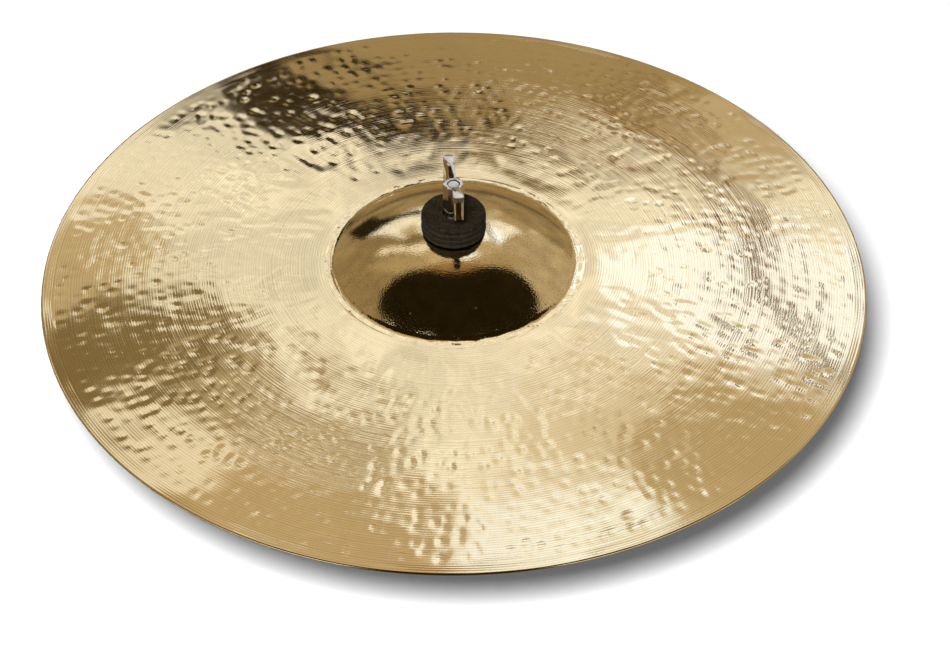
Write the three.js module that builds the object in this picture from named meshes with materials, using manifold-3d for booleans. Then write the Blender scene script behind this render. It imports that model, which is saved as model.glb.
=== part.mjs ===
// An 18 inch hammered crash cymbal on its mounting post, in millimetres, +Z up.
// The origin is the centre of the post's bottom end, and Z is the axis of the post.
//
// From the bottom up: a threaded post with a jam nut and a seat collar, a flanged nylon sleeve,
// a cup washer, the lower felt, the cymbal, the upper felt, and a wing nut that turns on its own
// captive foot washer. The sleeve runs up through the washer, both felts and the cymbal's hole.

import * as THREE from "three";
import { mergeVertices } from "three/addons/utils/BufferGeometryUtils.js";
import Module from "manifold-3d";

const wasm = await Module();
wasm.setup();

// ---- Driving dimensions ----------------------------------------------------------------------

const GAP = 0.3; // clearance between pieces that bear on each other

const CYMBAL_RADIUS = 228.6; // 18 inches across
const HOLE_RADIUS = 6.25;
const BELL_SPHERE_RADIUS = 107; // the bell is the cap of a sphere
const BELL_CAP_RADIUS = 64; // where the cap ends and the fillet starts
const FILLET_RADIUS = 13; // concave fillet between bell and bow
const BOW_START_SLOPE = THREE.MathUtils.degToRad(3.5);
const BOW_DROP = 19; // from the end of the fillet down to the rim
const PLATE_AT_HOLE = 1.3;
const PLATE_AT_RIM = 0.9;
const CROWN_HEIGHT = 62; // top of the bell above the post's bottom end

const FELT_RADIUS = 17.75;
const FELT_HOLE_RADIUS = 5.6;
const FELT_EDGE = 1.1; // rounding of the felts' edges
const UPPER_FELT_HEIGHT = 10.7;
const LOWER_FELT_HEIGHT = 10.2;
const LOWER_FELT_DISH = 1.4; // how far its top falls away under the bell
const UPPER_FELT_DISH = 1.15; // how far its underside reaches down round the bell

const THREAD_RADIUS = 3.95; // M8
const POST_CHAMFER = 1.1;
const SLEEVE_BORE = 4.3;
const SLEEVE_RADIUS = 5.1;
const SLEEVE_FLANGE_RADIUS = 8.5;
const SLEEVE_FLANGE_HEIGHT = 1.5;
const SLEEVE_ABOVE_CROWN = 8; // how far it reaches into the upper felt
const CUP_RADIUS = 19.2;
const CUP_PLATE = 1.2;
const CUP_LIP = 1.8; // height of the turned-up rim round the lower felt
const COLLAR_RADIUS = 9;
const COLLAR_HEIGHT = 8;
const JAM_NUT_ACROSS_FLATS = 13;
const JAM_NUT_HEIGHT = 4;
const COARSE_CHAMFER = 0.8;

const FOOT_RADIUS = 5.4;
const FOOT_HEIGHT = 3.4;
const BARREL_RADIUS = 5.9; // hexagonal barrel, across its corners
const BARREL_HEIGHT = 16.2;
const BARREL_BORE = 4.2;
const MOUTH_RADIUS = 3.5; // the thread's minor radius, where the bore opens at the barrel's top
const MOUTH_DEPTH = 0.6;
const WING_REACH = 18.8; // from the axis to the wings' tips
const WING_RISE = 5.2; // wing tips above the barrel's top
const WING_TIP_DROP = 11; // bottom of the tips below the barrel's top
const WING_ROOT_DROP = 14.5; // where the wings' lower edges meet the barrel
const WING_FLAT_START = 9; // radius where the wings' flat top begins
const WING_HALF = 1.85; // half the wings' thickness at the barrel
const WING_FLARE = 3.8; // from a wing's middle plane to its flared side, at the tip
const WING_TURN = THREE.MathUtils.degToRad(6.2); // how far the wings stand turned from the Y axis

const ROUND_FINE = 72; // segments round the cymbal
const ROUND_SMALL = 32; // segments round the small pieces

// ---- Heights of the stack, from the crown of the bell up and down ------------------------------

const rockCentre = CROWN_HEIGHT - PLATE_AT_HOLE / 2;
const upperFeltBottom = CROWN_HEIGHT + GAP;
const footBottom = upperFeltBottom + UPPER_FELT_HEIGHT + GAP;
const barrelBottom = footBottom + FOOT_HEIGHT + GAP;
const barrelTop = barrelBottom + BARREL_HEIGHT;
const postTop = barrelTop - GAP;
const lowerFeltTop = CROWN_HEIGHT - PLATE_AT_HOLE - GAP;
const lowerFeltBottom = lowerFeltTop - LOWER_FELT_HEIGHT;
const cupBottom = lowerFeltBottom - GAP - CUP_PLATE;
const flangeBottom = cupBottom - GAP - SLEEVE_FLANGE_HEIGHT;
const collarBottom = flangeBottom - GAP - COLLAR_HEIGHT;
const jamNutBottom = collarBottom - GAP - JAM_NUT_HEIGHT;

// ---- Materials ---------------------------------------------------------------------------------

const finish = (color, roughness, metalness) =>
  new THREE.MeshStandardMaterial({ color, roughness, metalness });
const bronze = finish(0xd9b56c, 0.2, 1);
const felt = finish(0x33302c, 0.95, 0);
const chrome = finish(0xcfcbc4, 0.08, 1);
const steel = finish(0xb4b4b0, 0.3, 1);
const nylon = finish(0x151515, 0.45, 0);

// ---- Shared shapes -----------------------------------------------------------------------------

// A solid turned about Z from [radius, height] points, given anticlockwise with radius to the right.
// A profile that doesn't both start and end on the axis is closed back to its first point.
function turned(points, segments = ROUND_SMALL) {
  const onAxis = points[0][0] === 0 && points.at(-1)[0] === 0;
  const outline = onAxis ? points : [...points, points[0]];
  const profile = outline.map(([radius, height]) => new THREE.Vector2(radius, height));
  return new THREE.LatheGeometry(profile, segments).rotateX(Math.PI / 2);
}

// A ring with a rectangular section whose outer corners are cut back by `edge`.
function ring(inner, outer, bottom, top, edge) {
  return turned([
    [inner, bottom],
    [outer - edge, bottom],
    [outer, bottom + edge],
    [outer, top - edge],
    [outer - edge, top],
    [inner, top],
  ]);
}

function solidOf(geometry) {
  const bare = geometry.clone().deleteAttribute("normal").deleteAttribute("uv");
  const merged = mergeVertices(bare, 1e-4);
  return new wasm.Manifold(
    new wasm.Mesh({
      numProp: 3,
      vertProperties: merged.getAttribute("position").array,
      triVerts: new Uint32Array(merged.index.array),
    }),
  );
}

function geometryOf(solid) {
  const mesh = solid.getMesh();
  return new THREE.BufferGeometry()
    .setAttribute("position", new THREE.BufferAttribute(mesh.vertProperties, 3))
    .setIndex(new THREE.BufferAttribute(mesh.triVerts, 1));
}

// An upright prism between two heights, with corners on the X axis when it is a hexagon.
function prism(radius, bottom, top, sides) {
  return new THREE.CylinderGeometry(radius, radius, top - bottom, sides)
    .rotateY(Math.PI / 2)
    .rotateX(Math.PI / 2)
    .translate(0, 0, (bottom + top) / 2);
}

// ---- Cymbal ------------------------------------------------------------------------------------

const capEndSlope = Math.asin(BELL_CAP_RADIUS / BELL_SPHERE_RADIUS);
const bowStart = BELL_CAP_RADIUS + FILLET_RADIUS * (Math.sin(capEndSlope) - Math.sin(BOW_START_SLOPE));
const bowWidth = CYMBAL_RADIUS - bowStart;
const bowCurve = (BOW_DROP - Math.tan(BOW_START_SLOPE) * bowWidth) / bowWidth ** 2;

// How far the cymbal's upper surface lies below the crown at a radius: cap, fillet, then bow.
function dropAt(radius) {
  const capDrop = (r) => BELL_SPHERE_RADIUS - Math.sqrt(BELL_SPHERE_RADIUS ** 2 - r ** 2);
  if (radius <= BELL_CAP_RADIUS) return capDrop(radius);
  const filletDrop = (slope) => FILLET_RADIUS * (Math.cos(slope) - Math.cos(capEndSlope));
  if (radius <= bowStart) {
    const slope = Math.asin(Math.sin(capEndSlope) - (radius - BELL_CAP_RADIUS) / FILLET_RADIUS);
    return capDrop(BELL_CAP_RADIUS) + filletDrop(slope);
  }
  const out = radius - bowStart;
  const bowTop = capDrop(BELL_CAP_RADIUS) + filletDrop(BOW_START_SLOPE);
  return bowTop + Math.tan(BOW_START_SLOPE) * out + bowCurve * out ** 2;
}

function evenly(from, to, count) {
  return Array.from({ length: count }, (_, i) => from + ((to - from) * i) / count);
}

function cymbalGeometry() {
  const radii = [
    ...evenly(HOLE_RADIUS, BELL_CAP_RADIUS, 8),
    ...evenly(BELL_CAP_RADIUS, bowStart, 4),
    ...evenly(bowStart, CYMBAL_RADIUS, 9),
    CYMBAL_RADIUS,
  ];
  const plateAt = (radius) =>
    THREE.MathUtils.mapLinear(radius, HOLE_RADIUS, CYMBAL_RADIUS, PLATE_AT_HOLE, PLATE_AT_RIM);
  const upper = radii.map((radius) => [radius, CROWN_HEIGHT - dropAt(radius)]);
  const lower = upper.map(([radius, height]) => [radius, height - plateAt(radius)]);
  return turned([...lower, ...upper.reverse()], ROUND_FINE);
}

// ---- Felts, sleeve and seat --------------------------------------------------------------------

// Its underside is dished to lie round the top of the bell.
function upperFeltGeometry() {
  const top = upperFeltBottom + UPPER_FELT_HEIGHT;
  const skirt = upperFeltBottom - UPPER_FELT_DISH;
  return turned([
    [FELT_HOLE_RADIUS, upperFeltBottom],
    [FELT_RADIUS - FELT_EDGE, skirt],
    [FELT_RADIUS, skirt + FELT_EDGE],
    [FELT_RADIUS, top - FELT_EDGE],
    [FELT_RADIUS - FELT_EDGE, top],
    [FELT_HOLE_RADIUS, top],
  ]);
}

// Its top is dished to follow the inside of the bell.
function lowerFeltGeometry() {
  const shoulder = lowerFeltTop - LOWER_FELT_DISH;
  return turned([
    [FELT_HOLE_RADIUS, lowerFeltBottom],
    [FELT_RADIUS - FELT_EDGE, lowerFeltBottom],
    [FELT_RADIUS, lowerFeltBottom + FELT_EDGE],
    [FELT_RADIUS, shoulder - FELT_EDGE],
    [FELT_RADIUS - FELT_EDGE, shoulder],
    [FELT_HOLE_RADIUS, lowerFeltTop],
  ]);
}

function sleeveGeometry() {
  const flangeTop = flangeBottom + SLEEVE_FLANGE_HEIGHT;
  const top = CROWN_HEIGHT + SLEEVE_ABOVE_CROWN;
  return turned([
    [SLEEVE_BORE, flangeBottom],
    [SLEEVE_FLANGE_RADIUS, flangeBottom],
    [SLEEVE_FLANGE_RADIUS, flangeTop],
    [SLEEVE_RADIUS, flangeTop],
    [SLEEVE_RADIUS, top],
    [SLEEVE_BORE, top],
  ]);
}

function cupWasherGeometry() {
  const inner = SLEEVE_RADIUS + GAP;
  const lipStart = FELT_RADIUS + GAP;
  const floor = cupBottom + CUP_PLATE;
  return turned([
    [inner, cupBottom],
    [lipStart, cupBottom],
    [CUP_RADIUS, cupBottom + CUP_LIP],
    [CUP_RADIUS, floor + CUP_LIP],
    [CUP_RADIUS - CUP_PLATE / 2, floor + CUP_LIP],
    [lipStart - CUP_PLATE / 2, floor],
    [inner, floor],
  ]);
}

// ---- Post --------------------------------------------------------------------------------------

function postGeometry() {
  return turned([
    [0, 0],
    [THREAD_RADIUS - POST_CHAMFER, 0],
    [THREAD_RADIUS, POST_CHAMFER],
    [THREAD_RADIUS, postTop - POST_CHAMFER],
    [THREAD_RADIUS - POST_CHAMFER, postTop],
    [0, postTop],
  ]);
}

function seatCollarGeometry() {
  const top = collarBottom + COLLAR_HEIGHT;
  return ring(THREAD_RADIUS + GAP, COLLAR_RADIUS, collarBottom, top, COARSE_CHAMFER);
}

// A hexagon nut: its corners are chamfered by a turned blank that just reaches its flats.
function jamNutGeometry() {
  const top = jamNutBottom + JAM_NUT_HEIGHT;
  const flats = JAM_NUT_ACROSS_FLATS / 2;
  const corners = flats / Math.cos(Math.PI / 6);
  const hexagon = solidOf(prism(corners, jamNutBottom, top, 6));
  const blank = solidOf(ring(THREAD_RADIUS + GAP, corners, jamNutBottom, top, corners - flats));
  return geometryOf(hexagon.intersect(blank));
}

// ---- Wing nut ----------------------------------------------------------------------------------

function footWasherGeometry() {
  return ring(SLEEVE_BORE, FOOT_RADIUS, footBottom, footBottom + FOOT_HEIGHT, 0.4);
}

// One wing along the X axis, cut from its side view and its plan. Both start inside the barrel's wall.
function wingSolid() {
  const inside = BARREL_BORE + 0.4;
  const top = barrelTop + WING_RISE;
  const heel = barrelTop - WING_TIP_DROP;
  const corner = 1.5;

  const side = new THREE.Shape();
  side.moveTo(inside, barrelTop - WING_ROOT_DROP);
  side.quadraticCurveTo(WING_REACH / 2, heel - corner, WING_REACH - corner, heel);
  side.quadraticCurveTo(WING_REACH, heel, WING_REACH, heel + corner);
  side.lineTo(WING_REACH, top);
  side.lineTo(WING_FLAT_START, top);
  side.lineTo(inside, barrelTop - GAP);

  const plan = new THREE.Shape();
  plan.moveTo(inside, -WING_HALF);
  plan.lineTo(WING_REACH - corner, -WING_HALF);
  plan.quadraticCurveTo(WING_REACH, -WING_HALF, WING_REACH, WING_HALF / 2);
  plan.quadraticCurveTo(WING_REACH, WING_FLARE, WING_REACH - corner, WING_FLARE);
  plan.lineTo(WING_FLAT_START, WING_HALF);
  plan.lineTo(inside, WING_HALF);

  const depth = 2 * WING_REACH;
  const settings = { depth, steps: 1, bevelEnabled: false, curveSegments: 6 };
  const across = new THREE.ExtrudeGeometry(side, settings).translate(0, 0, -depth / 2).rotateX(Math.PI / 2);
  const upright = new THREE.ExtrudeGeometry(plan, settings).translate(0, 0, barrelTop - depth / 2);
  return solidOf(across).intersect(solidOf(upright));
}

// The space inside the barrel, which narrows to the thread's mouth just above the post's chamfer.
function boreGeometry() {
  const mouthBottom = barrelTop - MOUTH_DEPTH;
  const beyond = 1;
  return turned([
    [0, barrelBottom - beyond],
    [BARREL_BORE, barrelBottom - beyond],
    [BARREL_BORE, mouthBottom - (BARREL_BORE - MOUTH_RADIUS)],
    [MOUTH_RADIUS, mouthBottom],
    [MOUTH_RADIUS, barrelTop + beyond],
    [0, barrelTop + beyond],
  ]);
}

function wingNutGeometry() {
  const barrel = solidOf(prism(BARREL_RADIUS, barrelBottom, barrelTop, 6));
  const towardsFront = THREE.MathUtils.radToDeg(WING_TURN) - 90;
  const front = wingSolid().rotate([0, 0, towardsFront]);
  const rear = wingSolid().rotate([0, 0, towardsFront + 180]);
  return geometryOf(barrel.add(front).add(rear).subtract(solidOf(boreGeometry())));
}

// ---- Assembly ----------------------------------------------------------------------------------

function piece(name, geometry, material) {
  const mesh = new THREE.Mesh(geometry, material);
  mesh.name = name;
  return mesh;
}

const post = new THREE.Group();
post.add(
  piece("post_rod", postGeometry(), steel),
  piece("jam_nut", jamNutGeometry(), steel),
  piece("seat_collar", seatCollarGeometry(), steel),
);

const turningSeat = new THREE.Group();
turningSeat.add(
  piece("sleeve", sleeveGeometry(), nylon),
  piece("cup_washer", cupWasherGeometry(), steel),
);

const felts = new THREE.Group();
felts.add(
  piece("lower_felt", lowerFeltGeometry(), felt),
  piece("upper_felt", upperFeltGeometry(), felt),
);

const nut = new THREE.Group();
nut.add(
  piece("foot_washer", footWasherGeometry(), chrome),
  piece("wing_nut", wingNutGeometry(), chrome),
);

const assembly = new THREE.Group();
assembly.add(post, turningSeat, felts, piece("cymbal", cymbalGeometry(), bronze), nut);

export default assembly;
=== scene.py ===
"""The looks of the crash cymbal: plate, felts, wing nut and post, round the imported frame."""

import math

import bpy
import numpy as np
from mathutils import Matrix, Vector


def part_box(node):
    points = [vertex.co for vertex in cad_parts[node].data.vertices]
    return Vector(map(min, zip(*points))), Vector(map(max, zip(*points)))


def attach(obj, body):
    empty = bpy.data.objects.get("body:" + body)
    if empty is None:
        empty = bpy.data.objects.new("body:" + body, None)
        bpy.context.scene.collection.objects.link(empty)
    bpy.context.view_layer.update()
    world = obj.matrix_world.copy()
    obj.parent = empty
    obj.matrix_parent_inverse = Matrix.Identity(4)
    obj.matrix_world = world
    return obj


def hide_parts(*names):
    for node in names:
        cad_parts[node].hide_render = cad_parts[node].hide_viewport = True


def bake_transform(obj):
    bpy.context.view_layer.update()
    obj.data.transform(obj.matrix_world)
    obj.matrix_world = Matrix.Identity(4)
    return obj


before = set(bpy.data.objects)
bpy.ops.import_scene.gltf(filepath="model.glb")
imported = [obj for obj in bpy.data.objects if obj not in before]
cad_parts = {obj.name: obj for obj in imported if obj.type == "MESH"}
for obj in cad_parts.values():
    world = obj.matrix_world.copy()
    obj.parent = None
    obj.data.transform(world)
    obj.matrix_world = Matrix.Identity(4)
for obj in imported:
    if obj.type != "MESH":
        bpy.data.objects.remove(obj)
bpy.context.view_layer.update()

MM = 0.001
TURN = 2 * math.pi


def top_of(node):
    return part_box(node)[1][2] / MM


def bottom_of(node):
    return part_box(node)[0][2] / MM


def radius_of(node):
    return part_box(node)[1][0] / MM


# ---- Node graphs -------------------------------------------------------------------------------


class Graph:
    """Short ways to add nodes to a node tree. Values may be numbers, tuples or output sockets."""

    def __init__(self, tree):
        self.tree = tree

    def node(self, kind, **settings):
        made = self.tree.nodes.new("ShaderNode" + kind)
        for name, value in settings.items():
            setattr(made, name, value)
        return made

    def feed(self, socket, value):
        if isinstance(value, bpy.types.NodeSocket):
            self.tree.links.new(value, socket)
        else:
            socket.default_value = value

    def math(self, operation, *values, clamp=False):
        made = self.node("Math", operation=operation, use_clamp=clamp)
        for socket, value in zip(made.inputs, values):
            self.feed(socket, value)
        return made.outputs[0]

    def total(self, *values):
        result = values[0]
        for value in values[1:]:
            result = self.math("ADD", result, value)
        return result

    def times(self, *values):
        result = values[0]
        for value in values[1:]:
            result = self.math("MULTIPLY", result, value)
        return result

    def span(self, value, low, high, to_low=0.0, to_high=1.0):
        """Smooth step of value from low..high to to_low..to_high."""
        made = self.node("MapRange", interpolation_type="SMOOTHSTEP")
        for socket, given in zip(made.inputs, (value, low, high, to_low, to_high)):
            self.feed(socket, given)
        return made.outputs[0]

    def line(self, value, low, high, to_low=0.0, to_high=1.0):
        made = self.node("MapRange", interpolation_type="LINEAR", clamp=True)
        for socket, given in zip(made.inputs, (value, low, high, to_low, to_high)):
            self.feed(socket, given)
        return made.outputs[0]

    def mix(self, factor, first, second):
        made = self.node("Mix", data_type="RGBA")
        self.feed(made.inputs[0], factor)
        self.feed(made.inputs[6], first)
        self.feed(made.inputs[7], second)
        return made.outputs[2]

    def noise(self, vector, scale, detail=2.0, roughness=0.5, distortion=0.0):
        made = self.node("TexNoise")
        self.feed(made.inputs["Vector"], vector)
        made.inputs["Scale"].default_value = scale
        made.inputs["Detail"].default_value = detail
        made.inputs["Roughness"].default_value = roughness
        made.inputs["Distortion"].default_value = distortion
        return made.outputs[0]

    def noise_along(self, value, scale, detail=1.0):
        made = self.node("TexNoise", noise_dimensions="1D")
        self.feed(made.inputs["W"], value)
        made.inputs["Scale"].default_value = scale
        made.inputs["Detail"].default_value = detail
        return made.outputs[0]

    def cells(self, vector, scale):
        """Distance to the nearest cell point, and that cell's own random number."""
        made = self.node("TexVoronoi")
        self.feed(made.inputs["Vector"], vector)
        made.inputs["Scale"].default_value = scale
        split = self.node("SeparateColor")
        self.feed(split.inputs[0], made.outputs["Color"])
        return made.outputs["Distance"], split.outputs[0]

    def place(self):
        """Object coordinates, the height in them and the distance from the Z axis, in metres."""
        vector = self.node("TexCoord").outputs["Object"]
        split = self.node("SeparateXYZ")
        self.feed(split.inputs[0], vector)
        x, y, z = split.outputs
        radius = self.math("SQRT", self.total(self.times(x, x), self.times(y, y)))
        return vector, z, radius

    def stretched(self, vector, scale):
        made = self.node("Mapping")
        self.feed(made.inputs["Vector"], vector)
        made.inputs["Scale"].default_value = scale
        return made.outputs[0]

    def bump(self, height):
        """A bump from a height in metres."""
        made = self.node("Bump")
        made.inputs["Strength"].default_value = 1.0
        made.inputs["Distance"].default_value = 1.0
        self.feed(made.inputs["Height"], height)
        return made.outputs[0]


def material(name, metallic=0.0, **constants):
    made = bpy.data.materials.new(name)
    made.use_nodes = True
    tree = made.node_tree
    shader = tree.nodes["Principled BSDF"]
    shader.inputs["Metallic"].default_value = metallic
    for socket, value in constants.items():
        shader.inputs[socket.replace("_", " ")].default_value = value
    return made, Graph(tree), shader


# ---- Materials ---------------------------------------------------------------------------------

GROOVE_PITCH = 1.45 * MM
GROOVE_HEIGHT = 7.5e-6
FINE_GROOVE_HEIGHT = 4.0e-6
LATHED_FROM = 72 * MM
GRAIN_HEIGHT = 4.2e-5
PIT_DEPTH = 3.0e-5
LUMP_HEIGHT = 4.5e-5
FELT_LAYER = 3.4 * MM


def bronze_material():
    made, g, shader = material("bronze", metallic=1.0)
    vector, _, radius = g.place()

    # Lathe grooves: rings of uneven depth and slightly uneven pitch, cut only outside the bell.
    wander = g.times(g.noise_along(radius, 260.0), 1.1)
    count = g.total(g.math("DIVIDE", radius, GROOVE_PITCH), wander)
    wave = g.math("SINE", g.times(count, TURN))
    depth = g.total(g.times(g.noise_along(count, 0.61, 2.0), 1.3), -0.08)
    along = g.noise(g.stretched(vector, (1, 1, 0)), 26.0, 2.0)
    uneven = g.line(along, 0.35, 0.65, 0.55, 1.2)
    lathed = g.span(radius, LATHED_FROM - 0.5 * MM, LATHED_FROM + 0.3 * MM)
    edge = g.span(radius, 0.219, 0.224, 1.0, 1.7)
    inner = g.line(radius, 0.078, 0.12, 0.6, 1.0)
    cut = g.times(wave, g.math("MAXIMUM", depth, 0.2), uneven, lathed, edge, inner)
    grooves = g.times(cut, GROOVE_HEIGHT)
    fine = g.times(g.noise_along(radius, 2600.0, 2.0), lathed, FINE_GROOVE_HEIGHT)

    # The bell is buffed, with a fine grain and small pits.
    belled = g.span(radius, 0.067, 0.0705, 1.0, 0.0)
    buffed = g.line(belled, 0, 1, 0.15, 1.0)
    grain = g.times(g.noise(vector, 1000.0, 1.5), buffed, GRAIN_HEIGHT)
    near, chance = g.cells(vector, 420.0)
    root = g.times(g.span(radius, 0.0635, 0.067), g.span(radius, 0.0705, 0.0725, 1.0, 0.0))
    sparse = g.math("LESS_THAN", chance, g.total(g.times(belled, 0.005), g.times(root, 0.12)))
    pit = g.times(g.span(near, 0.12, 0.42, 1.0, 0.0), sparse)
    lumps = g.times(g.noise(vector, 260.0, 3.0), root, LUMP_HEIGHT)
    pits = g.times(pit, -PIT_DEPTH)
    g.feed(shader.inputs["Normal"], g.bump(g.total(grooves, fine, grain, pits, lumps)))

    # Colour: a little redder in blotches, darker in the pits, and painted shade in the groove bottoms.
    blotch = g.noise(vector, 9.0, 3.0)
    tone = g.mix(g.line(blotch, 0.35, 0.65), (0.89, 0.715, 0.42, 1), (0.87, 0.685, 0.40, 1))
    # Painted shade: the bottoms of the lathe grooves are darkened in colour.
    groove_shade = g.times(g.line(wave, -1.0, -0.3, 1.0, 0.0), lathed, 0.19)
    speck = g.times(g.span(g.noise(vector, 1250.0, 1.0), 0.55, 0.7), belled, 0.3)
    dark = g.math("MAXIMUM", g.math("MAXIMUM", groove_shade, speck), g.times(pit, 0.8))
    g.feed(shader.inputs["Base Color"], g.mix(dark, tone, (0.22, 0.12, 0.04, 1)))
    smear = g.noise(vector, 34.0, 3.0)
    rough = g.total(g.line(smear, 0.3, 0.7, 0.05, 0.085), g.times(lathed, 0.01), g.times(pit, 0.3))
    g.feed(shader.inputs["Roughness"], rough)
    return made


def felt_material():
    made, g, shader = material("felt", Sheen_Weight=0.03, Sheen_Roughness=0.6, Specular_IOR_Level=0.06)
    shader.inputs["Sheen Tint"].default_value = (0.72, 0.64, 0.5, 1)
    vector, z, _ = g.place()
    clumps = g.noise(vector, 330.0, 4.0, 0.6, 0.6)
    fibres = g.noise(g.stretched(vector, (1, 1, 2.6)), 1500.0, 3.0, 0.7, 1.5)
    hairs = g.noise(g.stretched(vector, (2.2, 0.7, 1.4)), 900.0, 2.0, 0.6, 3.0)
    dark, pale = (0.002, 0.0014, 0.0006, 1), (0.0105, 0.0076, 0.0036, 1)
    wool = g.mix(g.line(clumps, 0.38, 0.64), dark, pale)
    wool = g.mix(g.span(fibres, 0.5, 0.68, 0.0, 0.75), wool, (0.037, 0.028, 0.014, 1))
    wool = g.mix(g.span(hairs, 0.6, 0.7, 0.0, 0.6), wool, (0.17, 0.14, 0.09, 1))
    # The layers of wool show on the side as thin dark lines with paler wool between them.
    waver = g.times(g.noise(vector, 120.0), 0.0009)
    layers = g.math("SINE", g.times(g.total(z, waver), TURN / FELT_LAYER))
    wool = g.mix(g.span(layers, 0.72, 1.0, 0.0, 0.75), wool, (0.0012, 0.0009, 0.0005, 1))
    wool = g.mix(g.span(layers, -0.5, -1.0, 0.0, 0.2), wool, (0.05, 0.04, 0.024, 1))
    g.feed(shader.inputs["Base Color"], wool)
    g.feed(shader.inputs["Roughness"], g.line(fibres, 0.3, 0.7, 0.82, 1.0))
    height = g.total(g.times(clumps, 4e-4), g.times(fibres, 2e-4), g.times(hairs, 1e-4))
    g.feed(shader.inputs["Normal"], g.bump(height))
    return made


def chrome_material():
    made, g, shader = material("chrome", metallic=1.0)
    vector = g.place()[0]
    cast = g.noise(vector, 190.0, 2.0)
    wear = g.noise(vector, 700.0, 4.0, 0.65)
    g.feed(shader.inputs["Base Color"], g.mix(cast, (0.66, 0.605, 0.52, 1), (0.57, 0.515, 0.435, 1)))
    g.feed(shader.inputs["Roughness"], g.line(wear, 0.35, 0.7, 0.06, 0.16))
    height = g.total(g.times(cast, 1.1e-5), g.times(wear, 7e-7))
    g.feed(shader.inputs["Normal"], g.bump(height))
    return made


def steel_material(name, light, dark, turned):
    """Plated steel with wear; turned surfaces have fine rings round Z."""
    made, g, shader = material(name, metallic=1.0)
    vector, z, radius = g.place()
    stain = g.noise(vector, 260.0, 4.0, 0.6)
    rings = g.noise_along(g.total(radius, z), 9000.0, 2.0)
    g.feed(shader.inputs["Base Color"], g.mix(g.line(stain, 0.35, 0.7), light, dark))
    g.feed(shader.inputs["Roughness"], g.total(g.line(stain, 0.3, 0.7, 0.2, 0.36), g.times(rings, 0.06)))
    height = g.total(g.times(rings, turned), g.times(stain, 3e-6))
    g.feed(shader.inputs["Normal"], g.bump(height))
    return made


def nylon_material():
    made, g, shader = material("nylon")
    vector = g.place()[0]
    grain = g.noise(vector, 2600.0, 3.0)
    scuff = g.noise(vector, 240.0, 4.0, 0.65)
    black, worn = (0.012, 0.012, 0.012, 1), (0.032, 0.031, 0.03, 1)
    g.feed(shader.inputs["Base Color"], g.mix(scuff, black, worn))
    g.feed(shader.inputs["Roughness"], g.line(scuff, 0.3, 0.7, 0.36, 0.6))
    g.feed(shader.inputs["Normal"], g.bump(g.times(grain, 6e-6)))
    return made


def floor_material():
    made, g, shader = material("floor", Specular_IOR_Level=0.1)
    vector = g.node("TexCoord").outputs["Object"]
    paper = g.noise(vector, 3.0, 3.0)
    g.feed(shader.inputs["Base Color"], g.mix(paper, (0.9, 0.9, 0.9, 1), (0.93, 0.93, 0.925, 1)))
    g.feed(shader.inputs["Roughness"], g.line(paper, 0.3, 0.7, 0.8, 0.95))
    return made


BRONZE = bronze_material()
FELT = felt_material()
CHROME = chrome_material()
ZINC = steel_material("zinc", (0.66, 0.66, 0.63, 1), (0.5, 0.5, 0.47, 1), 2e-6)
NICKEL = steel_material("nickel", (0.72, 0.70, 0.66, 1), (0.6, 0.58, 0.54, 1), 4e-6)
NYLON = nylon_material()

# ---- Meshes ------------------------------------------------------------------------------------


def new_piece(name, points_mm, faces, finish, body, node, slot):
    """A smooth piece in place of a CAD node, attached to its body when one is given."""
    mesh = bpy.data.meshes.new(name)
    mesh.from_pydata((np.asarray(points_mm, float) * MM).tolist(), [], faces)
    mesh.validate()
    mesh.update()
    mesh.polygons.foreach_set("use_smooth", [True] * len(mesh.polygons))
    mesh.materials.append(finish)
    made = bpy.data.objects.new(name, mesh)
    bpy.context.scene.collection.objects.link(made)
    if body:
        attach(made, body)
    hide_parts(node)
    return made


def stitched(counts, closed=True):
    """Faces between rings of points round Z, given in order with the solid's inside on the left.

    A ring has as many points as the one before it, twice as many or half as many."""
    starts = np.concatenate([[0], np.cumsum(counts)])
    faces = []
    pairs = list(zip(range(len(counts)), range(1, len(counts))))
    if closed:
        pairs.append((len(counts) - 1, 0))
    for a, b in pairs:
        na, nb, sa, sb = counts[a], counts[b], starts[a], starts[b]
        if na == nb:
            faces += [(sa + i, sa + (i + 1) % na, sb + (i + 1) % na, sb + i) for i in range(na)]
        elif nb == 2 * na:
            for i in range(na):
                p, q = sa + i, sa + (i + 1) % na
                u, v, w = sb + 2 * i, sb + 2 * i + 1, sb + (2 * i + 2) % nb
                faces += [(p, v, u), (p, q, v), (q, w, v)]
        else:
            for i in range(nb):
                p, q = sb + i, sb + (i + 1) % nb
                u, v, w = sa + 2 * i, sa + 2 * i + 1, sa + (2 * i + 2) % na
                faces += [(u, v, p), (v, q, p), (v, w, q)]
    return faces


def rounded(corners, radii, steps=4):
    """A profile of [radius, height] corners, closed, with each corner rounded by its own radius."""
    out = []
    count = len(corners)
    for i, (corner, r) in enumerate(zip(corners, radii)):
        here = np.array(corner, float)
        before = np.array(corners[i - 1], float) - here
        after = np.array(corners[(i + 1) % count], float) - here
        if r <= 0:
            out.append(here)
            continue
        reach_a = min(r, 0.45 * np.linalg.norm(before))
        reach_b = min(r, 0.45 * np.linalg.norm(after))
        a = here + before / np.linalg.norm(before) * reach_a
        b = here + after / np.linalg.norm(after) * reach_b
        for s in np.linspace(0, 1, steps + 1):
            out.append((1 - s) ** 2 * a + 2 * s * (1 - s) * here + s**2 * b)
    return np.array(out)


def turned_piece(name, profile, segments, *rest):
    """A closed profile of [radius, height] points in mm, anticlockwise, turned about Z."""
    angle = np.arange(segments) * TURN / segments
    points = [(r * math.cos(t), r * math.sin(t), z) for r, z in profile for t in angle]
    faces = stitched([segments] * len(profile))
    return new_piece(name, points, faces, *rest)


# ---- Cymbal ------------------------------------------------------------------------------------

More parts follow.
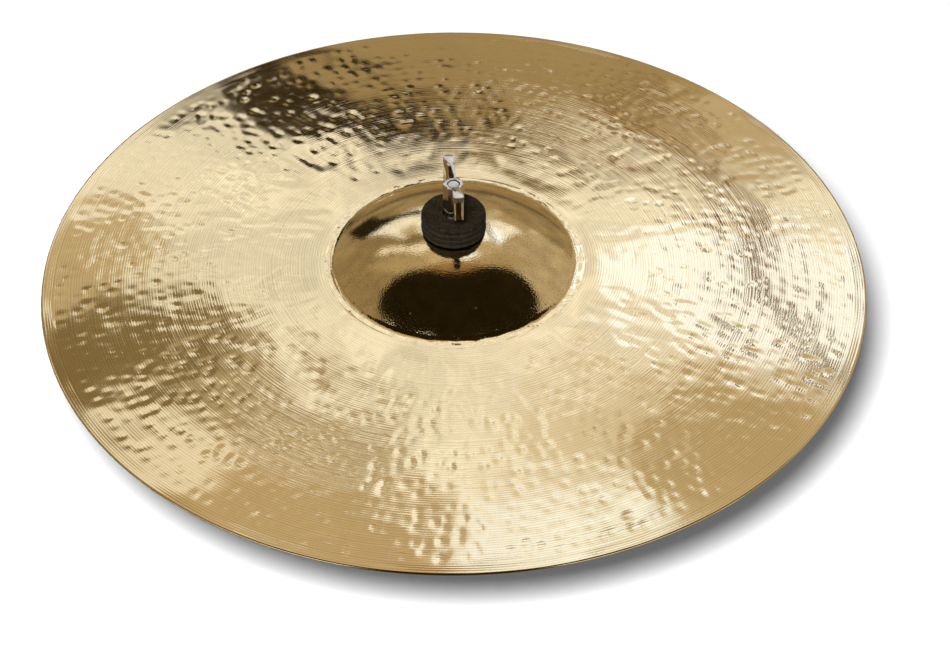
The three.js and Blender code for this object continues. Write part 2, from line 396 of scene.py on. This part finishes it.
RIM = radius_of("cymbal")
CROWN = top_of("cymbal") + 0.184  # the crown's height if it had no hole
HOLE = 6.25
BELL_SPHERE = 107
CAP = 65.5  # where the bell's cap ends and the fillet starts
FILLET = 6
BOW_SLOPE = math.radians(3.5)  # where the bow leaves the fillet
BOW_DROP = 19.2  # from the end of the fillet down to the rim
PLATE = (1.3, 0.9)  # thickness at the hole and at the rim
RIM_POINTS = 768  # points on each ring at the rim

SOFT_MARK = (3.2, 5.2)  # half length of a soft hammer mark
SOFT_MARK_WIDTH = 2.0
SOFT_MARK_DEPTH = (0.04, 0.1)
CRISP_MARK = (1.6, 2.4)
CRISP_MARK_DEPTH = 0.105  # the median

cap_slope = math.asin(CAP / BELL_SPHERE)
bow_start = CAP + FILLET * (math.sin(cap_slope) - math.sin(BOW_SLOPE))
bow_width = RIM - bow_start
bow_curve = (BOW_DROP - math.tan(BOW_SLOPE) * bow_width) / bow_width**2


def drop(radius):
    """How far the upper surface lies below the crown: spherical cap, fillet, then bow."""
    r = np.asarray(radius, float)
    cap = BELL_SPHERE - np.sqrt(BELL_SPHERE**2 - np.minimum(r, CAP) ** 2)
    in_fillet = (np.clip(r, CAP, bow_start) - CAP) / FILLET
    slope = np.arcsin(math.sin(cap_slope) - in_fillet)
    fillet = FILLET * (np.cos(slope) - math.cos(cap_slope))
    out = np.maximum(r - bow_start, 0)
    return cap + fillet + math.tan(BOW_SLOPE) * out + bow_curve * out**2


def waves(rng, x, y, count, shortest, longest, slope):
    """Slow undulations of the plate: a sum of random ripples with the stated rms slope."""
    height = np.zeros_like(x)
    for _ in range(count):
        length = rng.uniform(shortest, longest)
        way = rng.uniform(0, TURN)
        phase = rng.uniform(0, TURN)
        along = (x * math.cos(way) + y * math.sin(way)) * TURN / length
        height += np.sin(along + phase) * length / TURN
    return height * slope * math.sqrt(2 / count)


def dents(x, y, marks):
    """Oval dents, each (x, y, long radius, short radius, direction, depth, flatness of bottom)."""
    height = np.zeros_like(x)
    order = np.argsort(x)
    sorted_x = x[order]
    for cx, cy, long, short, way, depth, flat in marks:
        reach = 3.2 * long
        low, high = np.searchsorted(sorted_x, (cx - reach, cx + reach))
        near = order[low:high]
        near = near[np.abs(y[near] - cy) < reach]
        dx, dy = x[near] - cx, y[near] - cy
        a = (dx * math.cos(way) + dy * math.sin(way)) / long
        b = (dy * math.cos(way) - dx * math.sin(way)) / short
        height[near] -= depth * np.exp(-0.5 * (a * a + b * b) ** flat)
    return height


def hammer_marks(rng, size, strength):
    """Loose rings of hammer marks: long soft ones round the bell, small crisp ones further out."""
    marks = []

    def strike(r, angle, long, short, turn, depth, flat):
        place = (r * math.cos(angle), r * math.sin(angle))
        marks.append((*place, long * size, short * size, angle + turn, depth * strength, flat))

    radius = 79.0
    while radius < 150:
        around = int(TURN * radius / 9)
        shift = rng.uniform(0, TURN)
        for i in range(around):
            if rng.random() > np.interp(radius, (79, 120, 150), (0.75, 0.6, 0.25)):
                continue
            angle = shift + TURN * (i + rng.uniform(-0.4, 0.4)) / around
            turn, depth = rng.uniform(-0.35, 0.35), rng.uniform(*SOFT_MARK_DEPTH)
            wander = rng.uniform(-3, 3)
            long = rng.uniform(*SOFT_MARK)
            strike(radius + wander, angle, long, SOFT_MARK_WIDTH, turn, depth, 1)
        radius += rng.uniform(7, 9)

    radius = 84.0
    while radius < RIM - 5:
        around = int(TURN * radius / rng.uniform(7.4, 9.0))
        shift = rng.uniform(0, TURN)
        fill = np.interp(radius, (84, 105, 130, 160, 225), (0.12, 0.35, 0.7, 0.92, 0.88))
        for i in range(around):
            if rng.random() > fill:
                continue
            angle = shift + TURN * (i + rng.uniform(-0.3, 0.3)) / around
            long = rng.uniform(*CRISP_MARK)
            depth = np.clip(rng.lognormal(math.log(CRISP_MARK_DEPTH), 0.42), 0.04, 0.2)
            depth *= np.interp(radius, (80, 115, 150), (0.55, 0.8, 1.0))
            turn = rng.uniform(-0.7, 0.7)
            short = long * rng.uniform(0.7, 0.98)
            strike(radius + rng.uniform(-2.2, 2.2), angle, long, short, turn, depth, rng.uniform(1.2, 1.9))
        radius += rng.uniform(6.6, 8.2)
    return marks


def root_lumps(rng):
    """Small bumps and dents in the band where the bell meets the bow."""
    lumps = []
    for _ in range(230):
        angle = rng.uniform(0, TURN)
        r = rng.normal(69.4, 1.3)
        size = rng.uniform(0.9, 2.1)
        lumps.append(
            (
                r * math.cos(angle),
                r * math.sin(angle),
                size * rng.uniform(1.0, 1.9),
                size,
                angle + math.pi / 2 + rng.uniform(-0.3, 0.3),
                rng.uniform(-0.07, 0.1),
                1.4,
            )
        )
    return lumps


def bands(table):
    """Ring radii and segment counts from (start, end, step, segments) rows, without the last end."""
    radii, counts = [], []
    for start, end, step, segments in table:
        number = max(1, round((end - start) / step))
        radii += [start + (end - start) * i / number for i in range(number)]
        counts += [segments] * number
    return radii, counts


def ring_points(radii, counts):
    """Radius, angle, X and Y of every point on these rings round Z."""
    angle = np.concatenate([np.arange(n) * TURN / n for n in counts])
    r = np.repeat(radii, counts)
    return r, angle, r * np.cos(angle), r * np.sin(angle)


def on_bow(r):
    """1 on the bow, fading to 0 at the bell's root and at the rim."""
    return np.clip((r - 74) / 12, 0, 1) * np.clip((RIM - 1 - r) / 6, 0, 1)


def first_cut(r, angle):
    """The lathe's first cut: a shallow step round the root, deeper in some stretches."""
    stretch = 0.45 + 0.3 * np.sin(2 * angle + 1.1) + 0.25 * np.sin(5 * angle + 0.4)
    step = 1 / (1 + np.exp(-(r - 72.0) / 0.16)) * np.clip((90 - r) / 18, 0, 1)
    groove = np.exp(-(((r - 72.1) / 0.35) ** 2))
    return (0.05 * step + 0.05 * groove) * np.clip(stretch, 0.15, 1)


def top_face(rng):
    """Points and ring counts of the hammered upper face, from the hole outwards."""
    radii, counts = bands(
        [
            (HOLE, 14, 1.5, 96),
            (14, 36, 1.6, 192),
            (36, 64, 2.0, 384),
            (64, 70.6, 0.62, 384),
            (70.6, 73.4, 0.4, 384),
            (73.4, 110, 1.5, 384),
            (110, RIM - 1.5, 1.72, RIM_POINTS),
            (RIM - 1.5, RIM - 0.15, 0.45, RIM_POINTS),
        ]
    )
    r, angle, x, y = ring_points(radii, counts)
    on_bell = np.clip((64 - r) / 8, 0, 1) * np.clip((r - 8) / 8, 0, 1)
    z = CROWN - drop(r)
    z += on_bow(r) * waves(rng, x, y, 36, 16, 60, 0.0085)
    z += on_bow(r) * waves(rng, x, y, 14, 70, 160, 0.006)
    z += on_bell * waves(rng, x, y, 12, 30, 80, 0.003)
    z += np.clip((r - 76) / 10, 0, 1) * dents(x, y, hammer_marks(rng, 1.0, 1.0))
    z += dents(x, y, root_lumps(rng))
    z -= first_cut(r, angle)
    return np.stack([x, y, z], 1), counts


def under_face(rng):
    """Points and ring counts of the underside, with broader hammer marks of its own."""
    radii, counts = bands(
        [
            (HOLE, 30, 3, 96),
            (30, 64, 3, 192),
            (64, 74, 1.2, 192),
            (74, 150, 3.4, 192),
            (150, RIM - 1, 4.2, 384),
            (RIM - 1, RIM - 0.15, 0.4, 384),
        ]
    )
    r, _, x, y = ring_points(radii, counts)
    z = CROWN - drop(r) - np.interp(r, (HOLE, RIM), PLATE)
    z += on_bow(r) * waves(rng, x, y, 24, 24, 70, 0.009)
    z += on_bow(r) * dents(x, y, hammer_marks(rng, 1.45, -1.1))
    return np.stack([x, y, z], 1), counts


def rim_rings():
    """Three rings that round the rim over between the two faces, from the lower up."""
    angle = np.arange(RIM_POINTS) * TURN / RIM_POINTS
    height = CROWN - float(drop(RIM))
    rings = ((RIM - 0.04, 0.7), (RIM, 0.45), (RIM - 0.04, 0.2))
    return [
        np.stack([r * np.cos(angle), r * np.sin(angle), np.full(RIM_POINTS, height - down)], 1)
        for r, down in rings
    ]


def cymbal():
    rng = np.random.default_rng(18)
    top, top_counts = top_face(rng)
    low, low_counts = under_face(rng)
    rim = rim_rings()
    starts = np.concatenate([[0], np.cumsum(top_counts)])
    inwards = [top[a:b] for a, b in zip(starts, starts[1:])][::-1]
    points = np.concatenate([low, *rim, *inwards])
    counts = low_counts + [RIM_POINTS] * len(rim) + top_counts[::-1]
    plate = new_piece("cymbal_plate", points, stitched(counts), BRONZE, "cymbal", "cymbal", "bronze")
    plate.visible_diffuse = False  # keeps the shadow on the floor neutral


# ---- Felts -------------------------------------------------------------------------------------


def felt_ply(name, profile, seams, seed, node, slot):
    """A felt ply: a turned profile whose surface is roughened into matted wool."""
    segments = 200
    angle = np.arange(segments) * TURN / segments
    rings = len(profile)
    r = np.repeat(profile[:, 0], segments)
    z = np.repeat(profile[:, 1], segments)
    t = np.tile(angle, rings)
    rng = np.random.default_rng(seed)
    x, y = r * np.cos(t), r * np.sin(t)
    fuzz = np.zeros_like(r)
    for _ in range(70):
        way = rng.normal(size=3)
        way /= np.linalg.norm(way)
        length = rng.uniform(1.1, 5.0)
        along = (x * way[0] + y * way[1] + z * way[2]) * TURN / length
        fuzz += np.sin(along + rng.uniform(0, TURN)) * length
    fuzz *= 0.0058
    fuzz += rng.normal(size=fuzz.shape) * 0.022
    outer = np.clip((r - 12) / 4, 0, 1)
    for seam in seams:
        fuzz -= 0.32 * outer * np.exp(-(((z - seam) / 0.36) ** 2))
    ends = profile[:, 1].min(), profile[:, 1].max()
    middle = (ends[0] + ends[1]) / 2
    side = np.clip(1 - np.abs(z - middle) / (ends[1] - ends[0]) * 1.6, 0.12, 1)
    bulge = 0.16 * outer * side
    r2 = r + (fuzz * 0.8 + bulge) * outer - 0.1 * outer
    z2 = z + fuzz * np.where(z > middle, 1, -1) * 0.45 * (1 - 0.6 * outer)
    points = np.stack([r2 * np.cos(t), r2 * np.sin(t), z2], 1)
    made = new_piece(
        name, points, stitched([segments] * rings), FELT, None, node, slot
    )
    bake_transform(made)
    return made


def dense(profile, step):
    """The closed profile with points no further apart than step."""
    out = []
    for a, b in zip(profile, np.roll(profile, -1, axis=0)):
        count = max(1, math.ceil(np.linalg.norm(b - a) / step))
        out += [a + (b - a) * i / count for i in range(count)]
    return np.array(out)


def felts():
    outer = radius_of("upper_felt")
    bore, waist = 5.8, 7.1  # the hole is wider at half height, where the felt shears as it rocks
    top, low = top_of("upper_felt") - 0.02, bottom_of("upper_felt")
    inner_low = low + 1.15
    middle = (top + inner_low) / 2
    profile = rounded(
        [(waist, middle), (outer, middle), (outer, top), (bore, top)], [0, 0.25, 1.5, 0.7], 5
    )
    felt_ply(
        "upper_felt_top_ply", dense(profile, 0.55), [(middle + top) / 2 + 0.3], 3,
        "upper_felt", "upper_felt",
    )
    profile = rounded(
        [(bore, inner_low), (outer, low + 0.1), (outer, middle), (waist, middle)], [0.4, 1.2, 0.25, 0], 5
    )
    felt_ply(
        "upper_felt_bottom_ply", dense(profile, 0.55), [(middle + low) / 2 + 0.4], 4,
        "upper_felt", "upper_felt",
    )
    top, low = top_of("lower_felt"), bottom_of("lower_felt")
    middle = (top + low) / 2
    profile = rounded(
        [(bore, low), (outer, low), (outer, middle), (waist, middle)], [0.5, 1.4, 0.25, 0], 5
    )
    felt_ply(
        "lower_felt_bottom_ply", dense(profile, 0.7), [(middle + low) / 2], 5,
        "lower_felt", "lower_felt",
    )
    profile = rounded(
        [(waist, middle), (outer, middle), (outer, top - 1.5), (bore, top - 0.1)], [0, 0.25, 1.2, 0.5], 5
    )
    felt_ply(
        "lower_felt_top_ply", dense(profile, 0.7), [(middle + top) / 2 - 0.3], 6,
        "lower_felt", "lower_felt",
    )


# ---- Metal and nylon fittings ------------------------------------------------------------------


def post():
    """The M8 rod with a rolled right-hand thread, chamfered at both ends."""
    length, crest, root, pitch = top_of("post_rod"), radius_of("post_rod"), 3.32, 1.25
    per_turn, per_pitch, chamfer = 48, 10, 1.1
    z = np.arange(0, length + 1e-6, pitch / per_pitch)
    z[-1] = length
    turn = np.arange(per_turn) / per_turn
    phase = (z[:, None] / pitch - turn[None, :]) % 1.0
    tooth = np.clip(np.abs(phase - 0.5) * 2 * 1.3 - 0.12, 0, 1)
    r = crest - (crest - root) * tooth
    cone = crest - chamfer + np.minimum(z, length - z)
    r = np.minimum(r, cone[:, None])
    angle = turn * TURN
    points = np.stack(
        [r * np.cos(angle), r * np.sin(angle), np.repeat(z[:, None], per_turn, 1)], 2
    ).reshape(-1, 3)
    faces = stitched([per_turn] * len(z), closed=False)
    # Each end is a slightly domed face of its own rings.
    points = points.tolist()
    for ring_start, height, way in ((0, 0.0, -1), ((len(z) - 1) * per_turn, length, 1)):
        last = list(range(ring_start, ring_start + per_turn))
        for share, rise in ((0.92, 0.03), (0.6, 0.05), (0.25, 0.055)):
            first = len(points)
            rr = (crest - chamfer) * share
            points += [[rr * math.cos(a), rr * math.sin(a), height + way * (rise - 0.06)] for a in angle]
            ring = list(range(first, first + per_turn))
            for i in range(per_turn):
                j = (i + 1) % per_turn
                quad = (last[i], last[j], ring[j], ring[i])
                faces.append(quad if way > 0 else quad[::-1])
            last = ring
        points.append([0, 0, height - way * 0.005])
        centre = len(points) - 1
        for i in range(per_turn):
            tri = (last[i], last[(i + 1) % per_turn], centre)
            faces.append(tri if way > 0 else tri[::-1])
    new_piece("threaded_post", points, faces, ZINC, "post", "post_rod", "post_steel")


def bevelled(name, node, width, segments, limit, finish, body):
    """A copy of a CAD node with its sharp edges rounded over."""
    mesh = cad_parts[node].data.copy()
    mesh.name = name
    mesh.materials.clear()
    mesh.materials.append(finish)
    made = bpy.data.objects.new(name, mesh)
    bpy.context.scene.collection.objects.link(made)
    weld = made.modifiers.new("weld", "WELD")
    weld.merge_threshold = 1e-5
    flat = made.modifiers.new("flat", "DECIMATE")
    flat.decimate_type = "DISSOLVE"
    flat.angle_limit = math.radians(0.6)
    bevel = made.modifiers.new("bevel", "BEVEL")
    bevel.limit_method = "ANGLE"
    bevel.angle_limit = math.radians(limit)
    bevel.width = width * MM
    bevel.segments = segments
    bevel.use_clamp_overlap = True
    bevel.harden_normals = False
    made.modifiers.new("normals", "WEIGHTED_NORMAL").keep_sharp = False
    bpy.context.view_layer.update()
    final = bpy.data.meshes.new_from_object(made.evaluated_get(bpy.context.evaluated_depsgraph_get()))
    made.modifiers.clear()
    made.data = final
    final.polygons.foreach_set("use_smooth", [True] * len(final.polygons))
    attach(made, body)
    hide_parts(node)
    return made


def fittings():
    low, high = bottom_of("foot_washer"), top_of("foot_washer")
    bore, outer = 4.3, radius_of("foot_washer")
    profile = rounded(
        [(bore, low), (outer, low), (outer, high), (bore, high)], [0.2, 0.55, 0.6, 0.3], 5
    )
    turned_piece("nut_foot_ring", profile, 96, CHROME, "nut_foot", "foot_washer", "foot_chrome")
    bevelled("wing_nut_casting", "wing_nut", 0.5, 4, 28, CHROME, "wing_nut")

    low, high = bottom_of("seat_collar"), top_of("seat_collar")
    bore, outer, groove = 4.25, radius_of("seat_collar"), 0.5
    waist = (low + high) / 2
    profile = rounded(
        [
            (bore, low), (outer, low), (outer, waist - 0.7), (outer - groove, waist - 0.4),
            (outer - groove, waist + 0.4), (outer, waist + 0.7), (outer, high), (bore, high),
        ],
        [0.3, 0.7, 0.2, 0.1, 0.1, 0.2, 0.7, 0.3],
        4,
    )
    turned_piece("post_collar", profile, 96, CHROME, "post", "seat_collar", "collar_chrome")
    bevelled("post_jam_nut", "jam_nut", 0.18, 2, 25, ZINC, "post")

    low, top = bottom_of("sleeve"), top_of("sleeve")
    bore, wall, flange, flange_height = 4.3, 5.1, 8.5, 1.5
    profile = rounded(
        [
            (bore, low), (flange, low), (flange, low + flange_height), (wall, low + flange_height),
            (wall, top), (bore, top),
        ],
        [0.2, 0.4, 0.45, 0.3, 0.3, 0.2],
        4,
    )
    turned_piece("nylon_sleeve", profile, 80, NYLON, "turning_seat", "sleeve", "nylon")

    low, high, outer = bottom_of("cup_washer"), top_of("cup_washer"), radius_of("cup_washer")
    bore, plate, lip, floor_edge = 5.4, 1.2, 0.6, 18.05
    profile = rounded(
        [
            (bore, low), (floor_edge, low), (outer, high - plate), (outer, high), (outer - lip, high),
            (floor_edge - lip, low + plate), (bore, low + plate),
        ],
        [0.25, 1.2, 0.3, 0.3, 0.3, 0.8, 0.3],
        5,
    )
    turned_piece("cupped_washer", profile, 120, NICKEL, "turning_seat", "cup_washer", "washer_steel")


cymbal()
felts()
post()
fittings()

# ---- Camera, light and floor -------------------------------------------------------------------

SUBJECT = Vector((0, 0, 0.01919))
CAMERA_DISTANCE = 2.7
CAMERA_HEIGHT = 40.992  # degrees above the subject
CAMERA_AIM = (0.33, -41.44815)
KEY_WAY = Vector((-9, -59, 68.8)).normalized()
KEY_DISTANCE = 3
FLOOR_HEIGHT = -0.05
CARD_DISTANCE = 43
WIDE_CARD_DISTANCE = 48
CARD_STEP = 0.4  # each card stands this much nearer than the one listed before it
OPENING_DISTANCE = 33
CARD_DRIFT = 0.22  # brightness changes a metre across a small card
WIDE_CARD_DRIFT = 0.3
BRONZE_TINT = (0.88, 0.7, 0.41)


def direction(azimuth, elevation):
    """A unit vector: azimuth 0 is +Y and turns towards +X, in degrees."""
    a, e = math.radians(azimuth), math.radians(elevation)
    return Vector((math.sin(a) * math.cos(e), math.cos(a) * math.cos(e), math.sin(e)))


def set_camera():
    """A long lens above the near side, aimed a little below and right of the subject."""
    data = bpy.data.cameras.new("camera")
    data.sensor_width = 36
    data.lens = 184.4
    data.clip_start = 0.1
    data.clip_end = 200
    made = bpy.data.objects.new("camera", data)
    bpy.context.scene.collection.objects.link(made)
    made.location = SUBJECT + CAMERA_DISTANCE * direction(180, CAMERA_HEIGHT)
    made.rotation_euler = direction(*CAMERA_AIM).to_track_quat("-Z", "Y").to_euler()
    bpy.context.scene.camera = made


def seen(red, green, blue):
    """The light that the bronze reflects as this sRGB colour, each part out of 255."""
    light = []
    for part, bronze in zip((red, green, blue), BRONZE_TINT):
        part /= 255
        light.append((part / 12.92 if part <= 0.04045 else ((part + 0.055) / 1.055) ** 2.4) / bronze)
    return light


def glow(name, tone, scale, swing):
    """A light-giving material whose strength drifts by swing either way, about every 1 / scale m."""
    made = bpy.data.materials.new(name)
    made.use_nodes = True
    g = Graph(made.node_tree)
    made.node_tree.nodes.clear()
    light = g.node("Emission")
    light.inputs[0].default_value = (*tone, 1)
    drift = g.noise(g.node("TexCoord").outputs["Object"], scale, 3.0, 0.55)
    g.feed(light.inputs[1], g.line(drift, 0.3, 0.7, 1 - swing, 1 + swing))
    g.feed(g.node("OutputMaterial").inputs[0], light.outputs[0])
    return made


def staged(name, points, faces, finish, camera=False, glossy=True):
    """A part of the studio, seen only in reflections unless stated."""
    mesh = bpy.data.meshes.new(name)
    mesh.from_pydata([tuple(p) for p in points], [], faces)
    mesh.materials.append(finish)
    made = bpy.data.objects.new(name, mesh)
    bpy.context.scene.collection.objects.link(made)
    made.visible_camera = camera
    made.visible_glossy = glossy
    made.visible_diffuse = False
    made.visible_shadow = False
    return made


def card(name, corners, tone, distance, swing=0.12):
    """A small flat-toned card, its corners given as (azimuth, elevation)."""
    points = [SUBJECT + direction(*c) * distance for c in corners]
    staged(name, points, [tuple(range(len(points)))], glow(name, tone, CARD_DRIFT, swing))


def wide_card(name, corners, tone, distance, swing=0.34, middle=None):
    """A card that bends round the subject, spread from its middle, or from straight up."""
    edge = []
    for (a0, e0), (a1, e1) in zip(corners, corners[1:] + corners[:1]):
        if middle is None and a1 < a0 - 180:
            a1 += 360
        steps = max(1, math.ceil(max(abs(a1 - a0), abs(e1 - e0)) / 5))
        edge += [(a0 + (a1 - a0) * i / steps, e0 + (e1 - e0) * i / steps) for i in range(steps)]
    points, faces = [], []
    rings, count = 8, len(edge)
    for ring in range(rings + 1):
        t = max(ring / rings, 0.002)
        for a, e in edge:
            if middle is None:
                points.append(SUBJECT + direction(a, 90 + (e - 90) * t) * distance)
            else:
                a, e = middle[0] + (a - middle[0]) * t, middle[1] + (e - middle[1]) * t
                points.append(SUBJECT + direction(a, e) * distance)
    for ring in range(rings):
        for i in range(count):
            j = (i + 1) % count
            low, high = ring * count, (ring + 1) * count
            faces.append((low + i, low + j, high + j, high + i))
    staged(name, points, faces, glow(name, tone, WIDE_CARD_DRIFT, swing))


def dome(name, radius, finish, highest=89.9, **shown):
    """A sphere round the subject, from straight down up to the highest elevation."""
    across, down = 48, 24
    points, faces = [], []
    for i in range(down + 1):
        elevation = highest - (highest + 89.9) * i / down
        for j in range(across):
            points.append(SUBJECT + direction(360 * j / across, elevation) * radius)
    for i in range(down):
        for j in range(across):
            k = (j + 1) % across
            faces.append((i * across + j, i * across + k, (i + 1) * across + k, (i + 1) * across + j))
    staged(name, points, faces, finish, **shown)


# The studio that the metal reflects, as (name, reflected colour, corners), the nearest card last.
# Corners are (azimuth, elevation) in degrees, and colours are sRGB out of 255.
CARDS = [
    ("above", (168, 138, 86), [
        (-52, 34), (-34, 50), (-27, 56.5), (-20, 61.7), (-10, 64.8), (0, 65.6), (10, 65), (20, 62),
        (27, 57), (34, 50), (50, 34), (56, 60), (40, 82), (-40, 82), (-58, 60),
    ]),
    ("right_low", (172, 142, 92), [
        (9, 16), (28, 16), (28, 24.5), (16, 25.5), (13, 21),
    ]),
    ("left_streak", (232, 208, 158), [
        (-43, 36), (-36, 46), (-30, 53.5), (-26.3, 55), (-26.6, 48), (-33, 41), (-38, 34),
    ]),
    ("bottom_pale", (192, 163, 112), [
        (6, 14), (15, 14), (16, 27), (9, 29), (5, 26),
    ]),
    ("bottom_gold", (158, 129, 78), [
        (-9, 27), (-7, 18), (-14, 8), (14, 8), (11, 22), (6, 25.8), (0, 25.5),
    ]),
    ("left_gold", (192, 162, 108), [
        (-19.5, 38.5), (-15.5, 33), (-17.5, 30), (-25, 32), (-25, 38),
    ]),
    ("top_bright", (253, 244, 214), [
        (0, 59.5), (12, 60.3), (20, 58), (24, 60), (15, 66), (0, 66),
    ]),
    ("top_gold", (189, 157, 104), [
        (-30, 55), (-18, 54.5), (-11, 57.3), (-5, 58.8), (-2, 60.5), (-1, 63), (-2, 68), (-30, 68),
    ]),
    ("right_pale", (218, 194, 146), [
        (4, 57.5), (15, 58.5), (16, 47.5), (11, 49), (6, 52),
    ]),
    ("right_gold", (186, 156, 103), [
        (15, 55), (18, 57.5), (27, 57.5), (30, 52), (30, 46.5), (22, 45.5), (17, 48.5),
    ]),
    ("right_bright", (264, 257, 232), [
        (10.5, 37.5), (13.5, 34.5), (19, 33), (24, 35), (28, 40), (28, 45), (22, 44.8), (14, 44.5),
        (10.5, 42),
    ]),
    ("left_pale", (234, 212, 166), [
        (-29, 55), (-17, 54.2), (-19, 50), (-23, 47), (-29, 47),
    ]),
    ("left_brown", (173, 145, 96), [
        (-22, 49), (-19, 51), (-15, 54), (-10, 56.5), (-5, 57), (-4, 54.5), (-9, 52.5), (-12, 50),
        (-13, 46.5), (-15, 43.5), (-18, 44), (-22, 46),
    ]),
    ("left_dark", (129, 103, 56), [
        (-30, 47), (-23, 47.5), (-18, 47), (-15.5, 44), (-17, 40.5), (-20, 37.8), (-30, 39.5),
    ]),
    ("far_brown", (122, 94, 48), [
        (-1.2, 28.6), (1.3, 29.8), (4.3, 32), (7, 34), (8.6, 33), (6, 29.6), (3.4, 27), (0.7, 25.6),
        (-1.2, 25),
    ]),
    ("far_dark", (44, 30, 9), [
        (-9.9, 24), (-8.6, 26.3), (-6.6, 28), (-4.6, 29.6), (-2.5, 30.2), (-0.2, 30), (0.6, 28.4),
        (0, 26), (-2.2, 24.6), (-4.6, 23.6), (-5.8, 22.2), (-6.6, 19.8), (-7.4, 18.2), (-8.8, 18.2),
        (-9.6, 21),
    ]),
    ("right_streak", (112, 74, 24), [
        (5, 23), (7, 25.4), (10.8, 30), (14.8, 35.3), (18.2, 40.8), (23, 44.6), (27, 45.6), (27, 44),
        (22.6, 42.2), (19, 38.4), (16, 33.2), (11.4, 27.8), (7.6, 23.6),
    ]),
    ("smudge", (38, 28, 9), [
        (-33, 17.5), (-28, 18.5), (-18, 18.5), (-13, 22), (-10, 23), (-11, 16.5), (-18, 14.5), (-21, 9),
        (-19, 0), (-27, 0), (-31, 9),
    ]),
    ("amber_low", (146, 108, 56), [
        (-46, 64), (-36, 66), (-20, 67.5), (0, 68), (20, 67.5), (34, 65), (40, 62), (44, 72), (20, 83),
        (-20, 83), (-46, 74),
    ]),
    ("amber", (112, 76, 32), [
        (-44, 67), (-20, 70.5), (0, 71), (18, 70.5), (34, 67.5), (44, 74), (20, 83), (-20, 83),
        (-46, 76),
    ]),
    ("amber_high", (68, 45, 16), [
        (-42, 70), (-20, 74.5), (0, 75), (18, 74.5), (32, 71), (44, 76), (20, 83), (-20, 83), (-46, 78),
    ]),
]

# Cards that bend round the subject, as (name, reflected colour, middle, corners).
WIDE_CARDS = [
    ("sides_left", (142, 114, 67), (-66, 26), [
        (-104, -2), (-46, -2), (-30, 20), (-27, 38), (-31, 52), (-50, 66), (-104, 66),
    ]),
    ("sides_right", (178, 150, 101), (66, 26), [
        (40, -2), (104, -2), (104, 64), (46, 64), (29, 54), (27, 38), (28, 20),
    ]),
    ("back", (146, 118, 70), (0, 6), [
        (-50, -4), (44, -4), (42, 8), (30, 16), (10, 17.5), (-10, 14), (-48, 18),
    ]),
    ("behind_gold", (176, 146, 95), (180, 20), [
        (110, -2), (250, -2), (250, 34), (210, 26), (180, 20), (150, 26), (110, 34),
    ]),
    ("behind", (42, 31, 15), (180, 30), [
        (152, -4), (208, -4), (208, 62), (180, 68), (152, 62),
    ]),
]

# The dark opening overhead and round the camera, from straight up down to a ragged edge.
OPENING = [
    (-180, 64), (-150, 62), (-120, 54), (-90, 48), (-75, 49.5), (-62, 55), (-52, 59.5), (-44, 64.5),
    (-34, 71), (-20, 76.5), (0, 78), (20, 76.5), (32, 70.5), (40, 63.5), (46, 58), (53, 52), (62, 47),
    (75, 43), (90, 43), (110, 48), (130, 54), (155, 61),
]


def set_studio():
    dome("backdrop", 60, glow("backdrop", (1.1, 1.1, 1.1), 0.02, 0.02), camera=True, glossy=False)
    dome("surround", 50, glow("surround", seen(237, 218, 177), 0.55, 0.44))
    dome("ground", 49.5, glow("ground", seen(104, 80, 46), 0.3, 0.3), highest=-0.5)
    for index, (name, colour, corners) in enumerate(CARDS):
        card("card_" + name, corners, seen(*colour), CARD_DISTANCE - CARD_STEP * index)
    for index, (name, colour, middle, corners) in enumerate(WIDE_CARDS):
        distance = WIDE_CARD_DISTANCE - CARD_STEP * index
        wide_card("card_" + name, corners, seen(*colour), distance, middle=middle)
    wide_card("card_opening", OPENING, seen(30, 20, 4), OPENING_DISTANCE, 0.4)
    world = bpy.data.worlds.new("ambient")
    bpy.context.scene.world = world
    world.use_nodes = True
    back = world.node_tree.nodes["Background"]
    back.inputs["Color"].default_value = (1, 1, 1, 1)
    back.inputs["Strength"].default_value = 0.15


def set_lights():
    data = bpy.data.lights.new("key", "AREA")
    data.shape = "DISK"
    data.size = 0.78
    data.energy = 150
    made = bpy.data.objects.new("key", data)
    bpy.context.scene.collection.objects.link(made)
    made.location = SUBJECT + KEY_WAY * KEY_DISTANCE
    made.rotation_euler = (-KEY_WAY).to_track_quat("-Z", "Y").to_euler()
    made.visible_glossy = False


def set_floor():
    half = 8
    points = [(-half, -half, 0), (half, -half, 0), (half, half, 0), (-half, half, 0)]
    made = staged("floor", points, [(0, 1, 2, 3)], floor_material(), camera=True)
    made.location = (0, 0, FLOOR_HEIGHT)
    made.visible_diffuse = True
    made.visible_shadow = True
    made.visible_glossy = False


set_camera()
set_studio()
set_lights()
set_floor()
bpy.context.scene.view_settings.view_transform = "Standard"
